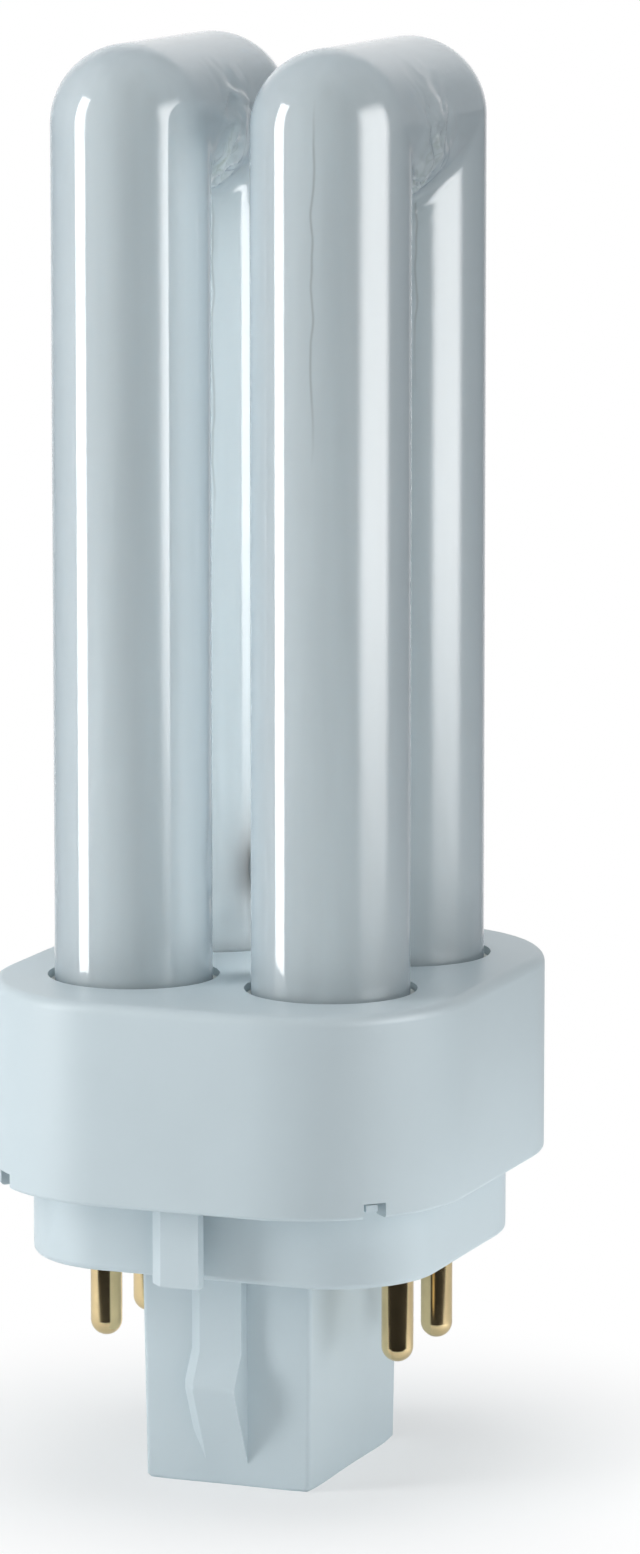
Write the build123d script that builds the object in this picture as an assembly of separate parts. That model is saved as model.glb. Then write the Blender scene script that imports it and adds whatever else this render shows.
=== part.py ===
from build123d import *
import math
import os

# Lengths are in millimetres and angles in degrees.
# The lamp stands cap down. The origin is the middle of the flat end of the centre post, +Z points
# up towards the glass, and -Y is the front, the wide side of the post that shows in front.

# Heights, counted up from the end of the post
post_length = 16.3
collar_height = 5.9
holder_height = 14.5
glass_above_holder = 66.3

# Glass
tube_diameter = 11.3
leg_pitch_across = 15.1
leg_pitch_deep = 15.1
crotch_land = 0.1
bridge_diameter = 5.6
bridge_above_holder = 6.0
leg_in_holder = 7.8
leg_end_radius = 2.4
pinch_width = 6.4
pinch_thickness = 2.2
pinch_length = 3.0
exhaust_tip_diameter = 3.0
exhaust_tip_length = 3.4

# Tube holder, the upper shell
holder_width = 35.2
holder_depth = 38.6
holder_corner = 12.0
holder_wall = 1.6
holder_top_wall = 1.6
holder_top_fillet = 0.8
holder_rim_fillet = 0.3
leg_hole_clearance = 0.5
sleeve_wall = 0.9
sleeve_depth = 4.6
stop_rib_thickness = 1.2
stop_rib_reach = 1.9
latch_notch_width = 1.7
latch_notch_height = 1.1

# Cement
cement_recess = 1.0

# Pin cap, the lower piece
flange_thickness = 1.5
flange_recess = 0.4
flange_clearance = 0.15
collar_set_in_side = 2.4
collar_set_in_front = 5.0
collar_corner = 7.8
collar_wall = 1.25
collar_bottom_fillet = 0.5
floor_thickness = 1.4
latch_nose_width = 0.9
latch_nose_gap = 0.2

# Centre post
post_width = 12.6
post_depth = 17.1
post_draft = 0.8
post_wall = 1.2
post_edge_fillet = 0.35

# Snap rib on each wide side of the post
rib_left = -2.6
rib_right = 1.6
rib_bevel = 1.0
rib_neck = 1.3
rib_peak = 2.6
rib_neck_end = 10.0
rib_peak_top = 7.9
rib_peak_bottom = 7.3
rib_foot = 1.6

# Key rib on each wide side of the collar, a thin wall bent back to the collar at its left
key_left = -2.6
key_right = 1.3
key_reach = 2.8
key_wall = 0.95
key_bevel = 1.0
key_rim_gap = 0.1

# Contact pins
pin_spacing_across = 22.6
pin_spacing_deep = 8.0
pin_diameter = 2.3
pin_length = 7.2
pin_seat_diameter = 2.5
pin_seat_set_in = 0.05
pin_head_diameter = 3.3
pin_head_thickness = 0.5
pin_tail = 2.4
pin_bore_diameter = 1.0
pin_bore_depth = 5.0
pin_boss_wall = 1.0
pin_boss_height = 1.2

# Lead wires
wire_diameter = 0.5
wire_pitch = 3.6
wire_bend = 1.2
wire_in_pin = 1.5
wire_drop = 1.3

# How far a cutting block runs past the surface it cuts through
cut_overrun = 1.0

# Levels that follow from the heights
floor_level = post_length
floor_top = floor_level + floor_thickness
holder_bottom = floor_level + collar_height
holder_top = holder_bottom + holder_height
overall_length = holder_top + glass_above_holder
flange_bottom = holder_bottom + flange_recess
flange_top = flange_bottom + flange_thickness
leg_end = holder_top - leg_in_holder
pin_head_bottom = floor_top + pin_boss_height
pin_tail_top = pin_head_bottom + pin_head_thickness + pin_tail
collar_width = holder_width - 2 * collar_set_in_side
collar_depth = holder_depth - 2 * collar_set_in_front

LEG_PLACES = {
    "front_left": (-leg_pitch_across / 2, -leg_pitch_deep / 2),
    "front_right": (leg_pitch_across / 2, -leg_pitch_deep / 2),
    "back_left": (-leg_pitch_across / 2, leg_pitch_deep / 2),
    "back_right": (leg_pitch_across / 2, leg_pitch_deep / 2),
}
PIN_PLACES = {
    "front_left": (-pin_spacing_across / 2, -pin_spacing_deep / 2),
    "front_right": (pin_spacing_across / 2, -pin_spacing_deep / 2),
    "back_left": (-pin_spacing_across / 2, pin_spacing_deep / 2),
    "back_right": (pin_spacing_across / 2, pin_spacing_deep / 2),
}


def prism(width, depth, corner, bottom, top):
    """Upright prism with a rounded rectangular section, centred on the lamp's axis."""
    section = RectangleRounded(width, depth, corner)
    return Pos(0, 0, bottom) * extrude(section, amount=top - bottom)


def box(x_range, y_range, z_range):
    """Plain block between two corners."""
    size = [high - low for low, high in (x_range, y_range, z_range)]
    low_corner = (x_range[0], y_range[0], z_range[0])
    return Pos(*low_corner) * Box(*size, align=(Align.MIN, Align.MIN, Align.MIN))


def rod(x, y, radius, bottom, top):
    """Upright cylinder."""
    cylinder = Cylinder(radius, top - bottom, align=(Align.CENTER, Align.CENTER, Align.MIN))
    return Pos(x, y, bottom) * cylinder


def front_and_back(shape):
    """The shape and its copy turned half a turn about the lamp's axis."""
    return shape + Rot(0, 0, 180) * shape


def glass_leg(x, y):
    """One straight leg, from its closed end in the holder up to the middle of the crown.

    The seam of its round face is turned outwards, clear of the crotch.
    """
    leg = rod(0, 0, tube_diameter / 2, leg_end, overall_length - tube_diameter / 2)
    end_rim = leg.edges().group_by(Axis.Z)[0]
    leg = fillet(end_rim, leg_end_radius)
    outward = 90 if y > 0 else -90
    return Pos(x, y, 0) * Rot(0, 0, outward) * leg


def glass_crown(x):
    """Butt-bent top of one U: a level length of the same tube with ball-shaped shoulders."""
    radius = tube_diameter / 2
    level = overall_length - radius
    across = Pos(x, 0, level) * Rot(90, 0, 0) * Cylinder(radius, leg_pitch_deep)
    shoulders = [Pos(x, side * leg_pitch_deep / 2, level) * Sphere(radius) for side in (-1, 1)]
    return across + shoulders


def glass_u_bend(x):
    """One U of glass with its legs one behind the other and its crotch rounded."""
    front = glass_leg(x, -leg_pitch_deep / 2)
    back = glass_leg(x, leg_pitch_deep / 2)
    bend = front + back + glass_crown(x)
    mitres = bend.edges().filter_by(GeomType.ELLIPSE)
    gap = leg_pitch_deep - tube_diameter
    return fillet(mitres, gap / 2 - crotch_land)


def glass_pinch(x, y):
    """Flattened seal at an electrode end, with the lead wires running through it."""
    seal = Box(pinch_width, pinch_thickness, pinch_length + leg_end_radius)
    seal = fillet(seal.edges().filter_by(Axis.Z), pinch_thickness * 0.4)
    return Pos(x, y, leg_end + (leg_end_radius - pinch_length) / 2) * seal


def exhaust_tip(x, y):
    """Nib left where the tube was pumped and sealed off."""
    radius = exhaust_tip_diameter / 2
    tip = rod(x, y, radius, leg_end - exhaust_tip_length, leg_end + radius)
    return fillet(tip.edges().group_by(Axis.Z)[0], radius * 0.9)


def glass_bridge():
    """Short tube that joins the two back legs just above the holder."""
    bridge = Rot(0, 90, 0) * Cylinder(bridge_diameter / 2, leg_pitch_across)
    return Pos(0, leg_pitch_deep / 2, holder_top + bridge_above_holder) * bridge


def discharge_tube():
    """Both U-bends, the bridge and the sealed ends, blown as one piece of glass."""
    across = leg_pitch_across / 2
    deep = leg_pitch_deep / 2
    tube = glass_u_bend(-across) + glass_u_bend(across) + glass_bridge()
    for side in (-across, across):
        tube += glass_pinch(side, -deep)
        tube += exhaust_tip(side, deep)
    return tube


def leg_hole_radius():
    """Radius of the holder's holes, which leave room for the cement."""
    return tube_diameter / 2 + leg_hole_clearance


def latch_cutter():
    """Notches in the holder's lower rim, one at the middle of each rounded corner."""
    centre_x = holder_width / 2 - holder_corner
    centre_y = holder_depth / 2 - holder_corner
    reach = holder_corner + cut_overrun
    cutters = []
    for side_x in (-1, 1):
        for side_y in (-1, 1):
            turn = math.degrees(math.atan2(side_y, side_x))
            block = Box(reach, latch_notch_width, 2 * latch_notch_height,
                        align=(Align.MIN, Align.CENTER, Align.CENTER))
            place = Pos(side_x * centre_x, side_y * centre_y, holder_bottom)
            cutters.append(place * Rot(0, 0, turn) * block)
    return cutters


def stop_ribs():
    """Upright ribs inside the holder that the cap's flange comes up against."""
    inner_x = holder_width / 2 - holder_wall
    inner_y = holder_depth / 2 - holder_wall
    top = holder_top - holder_top_wall
    half = stop_rib_thickness / 2
    overlap = holder_wall / 2
    ribs = []
    for side in (-1, 1):
        along_x = sorted((side * (inner_x - stop_rib_reach), side * (inner_x + overlap)))
        along_y = sorted((side * (inner_y - stop_rib_reach), side * (inner_y + overlap)))
        ribs.append(box(along_x, (-half, half), (flange_top, top)))
        ribs.append(box((-half, half), along_y, (flange_top, top)))
    return ribs


def tube_holder():
    """Moulded upper shell, with a hole and a sleeve for each leg."""
    outer = prism(holder_width, holder_depth, holder_corner, holder_bottom, holder_top)
    outer = fillet(outer.edges().group_by(Axis.Z)[-1], holder_top_fillet)
    outer = fillet(outer.edges().group_by(Axis.Z)[0], holder_rim_fillet)
    inner = prism(holder_width - 2 * holder_wall, holder_depth - 2 * holder_wall,
                  holder_corner - holder_wall, holder_bottom, holder_top - holder_top_wall)
    shell = outer - inner - latch_cutter()
    shell += stop_ribs()
    sleeve_bottom = holder_top - holder_top_wall - sleeve_depth
    radius = leg_hole_radius()
    for x, y in LEG_PLACES.values():
        shell += rod(x, y, radius + sleeve_wall, sleeve_bottom, holder_top - holder_top_wall)
    for x, y in LEG_PLACES.values():
        shell -= rod(x, y, radius, holder_bottom, holder_top)
    return shell


def cement_ring(x, y):
    """Cement between a leg and its sleeve, set a little below the top of the holder."""
    bottom = holder_top - holder_top_wall - sleeve_depth
    ring = rod(x, y, leg_hole_radius(), bottom, holder_top - cement_recess)
    return ring - rod(x, y, tube_diameter / 2, bottom, holder_top)


def post_blank(shrink, bottom):
    """Tapered centre post, wider at its root, reduced all round by shrink."""
    sections = []
    for level in (bottom, floor_top):
        spread = 2 * level * math.tan(math.radians(post_draft)) - 2 * shrink
        section = RectangleRounded(post_width + spread, post_depth + spread, post_edge_fillet)
        sections.append(Pos(0, 0, level) * section)
    return loft(sections)


def centre_post():
    """Solid form of the post, with the rim of its flat end eased."""
    post = post_blank(0, 0)
    return chamfer(post.edges().group_by(Axis.Z)[0], post_edge_fillet * 0.7)


def rib_outline(x, set_back):
    """Side outline of the snap rib at one x, with its front drawn back by set_back."""
    root = -post_depth / 2 + post_wall * 0.95
    face = -post_depth / 2 + set_back
    outline = Polyline(
        (root, floor_top),
        (face - rib_neck, floor_top),
        (face - rib_neck, rib_neck_end),
        (face - rib_peak, rib_peak_top),
        (face - rib_peak, rib_peak_bottom),
        (face, rib_foot),
        (root, rib_foot),
        close=True,
    )
    return Pos(x, 0, 0) * make_face(Plane.YZ * outline)


def snap_rib():
    """Rib on the front of the post: a plain neck, then a barb that the socket's springs grip."""
    bevel_end = rib_left + rib_bevel
    body = extrude(rib_outline(bevel_end, 0), amount=rib_right - bevel_end, dir=(1, 0, 0))
    bevel = loft([rib_outline(rib_left, rib_bevel), rib_outline(bevel_end, 0)], ruled=True)
    return body + bevel


def key_rib():
    """Thin upright wall that stands off the front of the collar and keys the lamp in its socket."""
    root = -collar_depth / 2 + collar_wall / 2
    front = -collar_depth / 2 - key_reach
    inner = front + key_wall
    inner_left = key_left + key_wall
    outline = Polyline(
        (key_left, root),
        (key_left, front + key_bevel),
        (key_left + key_bevel, front),
        (key_right, front),
        (key_right, inner),
        (inner_left + key_bevel / 2, inner),
        (inner_left, inner + key_bevel / 2),
        (inner_left, root),
        close=True,
    )
    height = collar_height - key_rim_gap
    return Pos(0, 0, floor_level) * extrude(make_face(outline), amount=height)


def latch_noses():
    """Noses on the flange that show in the notches of the holder's rim."""
    centre_x = holder_width / 2 - holder_corner
    centre_y = holder_depth / 2 - holder_corner
    reach = holder_corner - holder_wall / 3
    height = latch_notch_height - flange_recess - latch_nose_gap
    noses = []
    for side_x in (-1, 1):
        for side_y in (-1, 1):
            turn = math.degrees(math.atan2(side_y, side_x))
            block = Box(reach, latch_nose_width, height, align=(Align.MIN, Align.CENTER, Align.MIN))
            place = Pos(side_x * centre_x, side_y * centre_y, flange_bottom)
            noses.append(place * Rot(0, 0, turn) * block)
    return noses


def pin_cap():
    """Moulded lower piece: flange, collar, pin floor, hollow post, snap ribs and key ribs."""
    gap = 2 * (holder_wall + flange_clearance)
    flange = prism(holder_width - gap, holder_depth - gap, holder_corner - gap / 2, flange_bottom, flange_top)
    collar = prism(collar_width, collar_depth, collar_corner, floor_level, flange_top)
    collar = fillet(collar.edges().group_by(Axis.Z)[0], collar_bottom_fillet)
    cap = flange + latch_noses() + collar
    cap -= prism(collar_width - 2 * collar_wall, collar_depth - 2 * collar_wall,
                 collar_corner - collar_wall, floor_top, flange_top)
    cap += front_and_back(key_rib())
    cap += centre_post()
    cap += front_and_back(snap_rib())
    cap -= post_blank(post_wall, post_wall)
    boss_radius = pin_diameter / 2 + pin_boss_wall
    for x, y in PIN_PLACES.values():
        cap += rod(x, y, boss_radius, floor_top, pin_head_bottom)
    for x, y in PIN_PLACES.values():
        cap -= rod(x, y, pin_diameter / 2, floor_level, floor_top)
        cap -= rod(x, y, pin_seat_diameter / 2, floor_level + pin_seat_set_in, flange_top)
    return cap


def contact_pin(x, y):
    """Turned pin with a round tip, a head that sits on its boss, and a bore for the lead wire."""
    radius = pin_diameter / 2
    tip = floor_level - pin_length
    pin = Pos(x, y, tip + radius) * Sphere(radius)
    pin += rod(x, y, radius, tip + radius, pin_tail_top)
    pin += rod(x, y, pin_seat_diameter / 2, floor_level + pin_seat_set_in, pin_head_bottom)
    pin += rod(x, y, pin_head_diameter / 2, pin_head_bottom, pin_head_bottom + pin_head_thickness)
    pin -= rod(x, y, pin_bore_diameter / 2, pin_tail_top - pin_bore_depth, pin_tail_top)
    return pin


def lead_wire(leg, pin, pitch_side):
    """Wire from the pinch of an electrode leg down into the bore of a pin."""
    leg_x, leg_y = leg
    pin_x, pin_y = pin
    start_x = leg_x + pitch_side * wire_pitch / 2
    pinch_bottom = leg_end - pinch_length
    level = pinch_bottom - wire_drop
    path = FilletPolyline(
        (start_x, leg_y, pinch_bottom),
        (start_x, leg_y, level),
        (pin_x, pin_y, level),
        (pin_x, pin_y, pin_tail_top - wire_in_pin),
        radius=wire_bend * 0.5,
    )
    section = Plane(origin=path @ 0, z_dir=path % 0) * Circle(wire_diameter / 2)
    return sweep(section, path=path)


def build_all():
    """Every piece of the lamp by its name."""
    pieces = {"discharge_tube": discharge_tube(), "tube_holder": tube_holder(), "pin_cap": pin_cap()}
    for name, (x, y) in LEG_PLACES.items():
        pieces["cement_ring_" + name] = cement_ring(x, y)
    for name, (x, y) in PIN_PLACES.items():
        pieces["contact_pin_" + name] = contact_pin(x, y)
        side_x = -1 if x < 0 else 1
        leg = LEG_PLACES["front_left"] if x < 0 else LEG_PLACES["front_right"]
        pitch_side = side_x if y < 0 else -side_x
        pieces["lead_wire_" + name] = lead_wire(leg, (x, y), pitch_side)
    return pieces


os.makedirs("parts", exist_ok=True)
for node, shape in build_all().items():
    export_step(shape, f"parts/{node}.step")
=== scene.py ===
"""Looks of the pin base lamp: glass, moulded plastic, brass pins, cement, and the studio round them."""

import logging
import math
from dataclasses import dataclass
from enum import Enum
from functools import cached_property

import bmesh
import bpy
import numpy as np
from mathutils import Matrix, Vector

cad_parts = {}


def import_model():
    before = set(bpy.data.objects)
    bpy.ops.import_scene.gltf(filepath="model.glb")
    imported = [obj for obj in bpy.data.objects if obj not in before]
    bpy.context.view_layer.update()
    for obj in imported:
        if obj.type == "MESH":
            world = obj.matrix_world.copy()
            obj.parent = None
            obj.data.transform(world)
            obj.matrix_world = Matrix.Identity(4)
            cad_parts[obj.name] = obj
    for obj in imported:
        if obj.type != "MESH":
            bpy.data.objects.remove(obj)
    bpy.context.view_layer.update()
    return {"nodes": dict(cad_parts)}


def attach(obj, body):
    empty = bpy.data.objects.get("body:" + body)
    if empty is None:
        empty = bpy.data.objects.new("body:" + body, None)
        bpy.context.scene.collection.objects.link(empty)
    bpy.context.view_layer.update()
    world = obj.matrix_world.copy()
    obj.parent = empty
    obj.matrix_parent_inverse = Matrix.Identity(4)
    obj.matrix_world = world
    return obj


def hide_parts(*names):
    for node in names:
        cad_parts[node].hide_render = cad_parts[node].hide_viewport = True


LOG = logging.getLogger("lamp")
MM = 0.001
BODY = "root"
WHITE = (1.0, 1.0, 1.0, 1.0)

# Sizes that several pieces share, in millimetres
TUBE_RADIUS = 5.65
LEG_PITCH = 15.1

Socket = bpy.types.NodeSocket
Skin = tuple[np.ndarray, list[tuple]]


class Corner(Enum):
    """The four places round the lamp's axis, as signs along X and Y."""

    FRONT_LEFT = (-1, -1)
    FRONT_RIGHT = (1, -1)
    BACK_LEFT = (-1, 1)
    BACK_RIGHT = (1, 1)

    @property
    def tag(self) -> str:
        """The words that end the names of this corner's pieces."""
        return self.name.lower()


class Ray(Enum):
    """Kinds of ray that a studio surface shows itself to."""

    CAMERA = "Is Camera Ray"
    GLOSSY = "Is Glossy Ray"
    TRANSMISSION = "Is Transmission Ray"


class NodeSheet:
    """Short calls for filling one node tree."""

    def __init__(self, tree: bpy.types.NodeTree) -> None:
        """Starts on an empty tree.

        Args:
            tree: the node tree to fill; what it holds is cleared.
        """
        self.tree = tree
        tree.nodes.clear()

    def add(self, kind: str, values: dict | None = None, **settings: object) -> bpy.types.Node:
        """Adds one node.

        Args:
            kind: the node's type name.
            values: input socket name or number to a value or to an output socket to link.
            settings: properties of the node.

        Returns:
            The new node.
        """
        node = self.tree.nodes.new(kind)
        for name, value in settings.items():
            setattr(node, name, value)
        for socket, value in (values or {}).items():
            target = node.inputs[socket]
            if isinstance(value, Socket):
                self.tree.links.new(value, target)
            else:
                target.default_value = value
        return node

    def math(self, operation: str, *operands: object, clamp: bool = False) -> Socket:
        """One Math node, with numbers or sockets as operands.

        Args:
            operation: the node's operation.
            operands: numbers or output sockets.
            clamp: True to keep the result between 0 and 1.

        Returns:
            The node's result.
        """
        node = self.add("ShaderNodeMath", dict(enumerate(operands)), operation=operation, use_clamp=clamp)
        return node.outputs[0]

    def offset(self, value: Socket, centre: object, span: object) -> Socket:
        """How far a value lies above a centre, counted in spans.

        Args:
            value: the value.
            centre: number or socket from which it counts.
            span: number or socket that counts as 1.

        Returns:
            The offset.
        """
        return self.math("DIVIDE", self.math("SUBTRACT", value, centre), span)

    def squares(self, first: Socket, second: Socket) -> Socket:
        """The sum of two squares."""
        return self.math("ADD", self.math("MULTIPLY", first, first), self.math("MULTIPLY", second, second))

    def bell(self, first: Socket, second: Socket) -> Socket:
        """A bell that is 1 where both offsets are 0 and fades out all round."""
        return self.math("EXPONENT", self.math("MULTIPLY", self.squares(first, second), -1.0))

    def stripe(self, value: Socket, middle: object, width: float) -> Socket:
        """A stripe that is 1 where a value is at the middle and 0 from the width on.

        Args:
            value: what runs across the stripe.
            middle: number or socket at which the stripe lies.
            width: how far it reaches to each side.

        Returns:
            The stripe's mask.
        """
        apart = self.math("ABSOLUTE", self.math("SUBTRACT", value, middle))
        return self.math("SUBTRACT", 1.0, self.math("DIVIDE", apart, width), clamp=True)

    def split(self, vector: Socket) -> tuple[Socket, ...]:
        """The X, Y and Z of a vector."""
        return tuple(self.add("ShaderNodeSeparateXYZ", {"Vector": vector}).outputs)

    def noise(self, place: Socket, scale: float, detail: float, distortion: float = 0.0,
              seed: Socket | None = None) -> Socket:
        """A noise texture.

        Args:
            place: where it is read, in metres.
            scale: how many of its swells lie along a metre.
            detail: how many finer layers it has.
            distortion: how far it is twisted.
            seed: chooses the pattern, where one is given.

        Returns:
            Its value, about 0.5 on the whole.
        """
        values = {"Vector": place, "Scale": scale, "Detail": detail, "Distortion": distortion}
        if seed is None:
            return self.add("ShaderNodeTexNoise", values).outputs["Fac"]
        return self.add("ShaderNodeTexNoise", {**values, "W": seed}, noise_dimensions="4D").outputs["Fac"]

    def stretch(self, value: Socket, low: float, high: float) -> Socket:
        """Maps a value from 0 to 1 onto another range.

        Args:
            value: the value.
            low: what 0 becomes.
            high: what 1 becomes.

        Returns:
            The mapped value.
        """
        node = self.add("ShaderNodeMapRange", {"Value": value, "To Min": low, "To Max": high})
        return node.outputs["Result"]

    def smooth_step(self, value: Socket, start: float, end: float, low: float = 0.0,
                    high: float = 1.0) -> Socket:
        """Goes smoothly from one level to another while a value passes a range.

        Args:
            value: the value.
            start: where the change starts.
            end: where it ends.
            low: the level before it.
            high: the level after it.

        Returns:
            The level.
        """
        return self.add("ShaderNodeMapRange", {"Value": value, "From Min": start, "From Max": end,
                                               "To Min": low, "To Max": high},
                        interpolation_type="SMOOTHSTEP").outputs["Result"]

    def bump(self, height: Socket, strength: float, distance: float, normal: Socket | None = None) -> Socket:
        """Tilts the shading as if the surface rose and fell.

        Args:
            height: the rise, from 0 to 1.
            strength: how much of it counts.
            distance: the rise, in metres, where the height is 1.
            normal: the normal that it starts from, where that isn't the surface's own.

        Returns:
            The tilted normal.
        """
        values = {"Height": height, "Strength": strength, "Distance": distance}
        if normal is not None:
            values["Normal"] = normal
        return self.add("ShaderNodeBump", values).outputs["Normal"]

    def ramp(self, factor: Socket, stops: list[tuple[float, tuple]]) -> Socket:
        """A colour ramp through the given stops.

        Args:
            factor: what runs along the ramp.
            stops: position and colour pairs, in rising order.

        Returns:
            The ramp's colour.
        """
        node = self.add("ShaderNodeValToRGB", {"Fac": factor})
        band = node.color_ramp
        while len(band.elements) < len(stops):
            band.elements.new(0.5)
        for element, (position, colour) in zip(band.elements, stops):
            element.position = position
            element.color = (*colour, 1.0)
        return node.outputs["Color"]

    def tinted(self, colour: Socket, tint: tuple[float, float, float], share: Socket) -> Socket:
        """Mixes a tint into a colour.

        Args:
            colour: the colour.
            tint: what is mixed in.
            share: how much of the tint shows, from 0 to 1.

        Returns:
            The mixed colour.
        """
        mix = self.add("ShaderNodeMix", {"Factor": share, "A": colour, "B": (*tint, 1.0)}, data_type="RGBA")
        return mix.outputs["Result"]

    def pick(self, index: Socket, values: list[float]) -> Socket:
        """The value that belongs to an index, for geometry trees.

        Args:
            index: the index, from 0.
            values: one value for each index.

        Returns:
            The value.
        """
        switch = self.add("GeometryNodeIndexSwitch", data_type="FLOAT")
        while len(switch.index_switch_items) < len(values):
            switch.index_switch_items.new()
        self.tree.links.new(index, switch.inputs["Index"])
        for number, value in enumerate(values):
            switch.inputs[number + 1].default_value = value
        return switch.outputs["Output"]


class SurfaceSheet(NodeSheet):
    """The nodes of a new material."""

    def __init__(self, name: str) -> None:
        """Makes the material and empties it.

        Args:
            name: the material's name.
        """
        self.material = bpy.data.materials.new(name)
        self.material.use_nodes = True
        super().__init__(self.material.node_tree)

    @cached_property
    def place(self) -> Socket:
        """The object coordinate, in metres."""
        return self.add("ShaderNodeTexCoord").outputs["Object"]

    def close(self, surface: Socket) -> bpy.types.Material:
        """Joins the surface to the material's output and returns the material."""
        self.add("ShaderNodeOutputMaterial", {"Surface": surface})
        return self.material


@dataclass(frozen=True)
class Finish:
    """What every finish of the lamp has: a name, a colour and a gloss."""

    name: str
    colour: tuple[float, float, float]
    roughness: float

    def build(self) -> bpy.types.Material:
        """Makes the material.

        Returns:
            The finished material.
        """
        sheet = SurfaceSheet(self.name)
        inputs = {"Base Color": (*self.colour, 1.0), "Roughness": self.roughness, **self.detail(sheet)}
        return sheet.close(sheet.add("ShaderNodeBsdfPrincipled", inputs).outputs["BSDF"])

    def detail(self, sheet: SurfaceSheet) -> dict[str, object]:
        """The finish's own detail. A plain finish has none.

        Args:
            sheet: the material's nodes.

        Returns:
            Inputs of the surface shader, with the values or sockets that they get.
        """
        return {}

    def shades(self, sheet: SurfaceSheet, factor: Socket, spread: float) -> Socket:
        """The finish's colour, a little darker and lighter along a factor.

        Args:
            sheet: the material's nodes.
            factor: runs from 0 to 1.
            spread: share by which the ends differ from the colour.

        Returns:
            The colour to use.
        """
        dark = tuple(c * (1 - spread) for c in self.colour)
        light = tuple(min(1.0, c * (1 + spread)) for c in self.colour)
        return sheet.ramp(factor, [(0.3, dark), (0.7, light)])


@dataclass(frozen=True)
class MouldedPlastic(Finish):
    """Pale moulded polyester with a faint spark-eroded texture and slow drifts of tone."""

    grain: float = 0.05
    grain_depth: float = 0.02
    drift: float = 0.02
    gloss_drift: float = 0.05

    def detail(self, sheet: SurfaceSheet) -> dict[str, object]:
        """The drift of colour, the uneven gloss and the moulded grain.

        Args:
            sheet: the material's nodes.

        Returns:
            Inputs of the surface shader.
        """
        cloud = sheet.noise(sheet.place, scale=90.0, detail=3.0)
        fine = sheet.noise(sheet.place, scale=5200.0, detail=2.0)
        return {"Base Color": self.shades(sheet, cloud, self.drift),
                "Roughness": sheet.stretch(cloud, self.roughness - self.gloss_drift,
                                           self.roughness + self.gloss_drift),
                "Normal": sheet.bump(fine, strength=self.grain, distance=self.grain_depth * MM)}


@dataclass(frozen=True)
class DrawLine:
    """A fine dark line on one leg, from its crotch down. Heights in millimetres.

    The azimuth counts in degrees round the leg's axis, from the front towards +X.
    """

    corner: Corner
    azimuth: float
    low: float
    high: float


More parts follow.
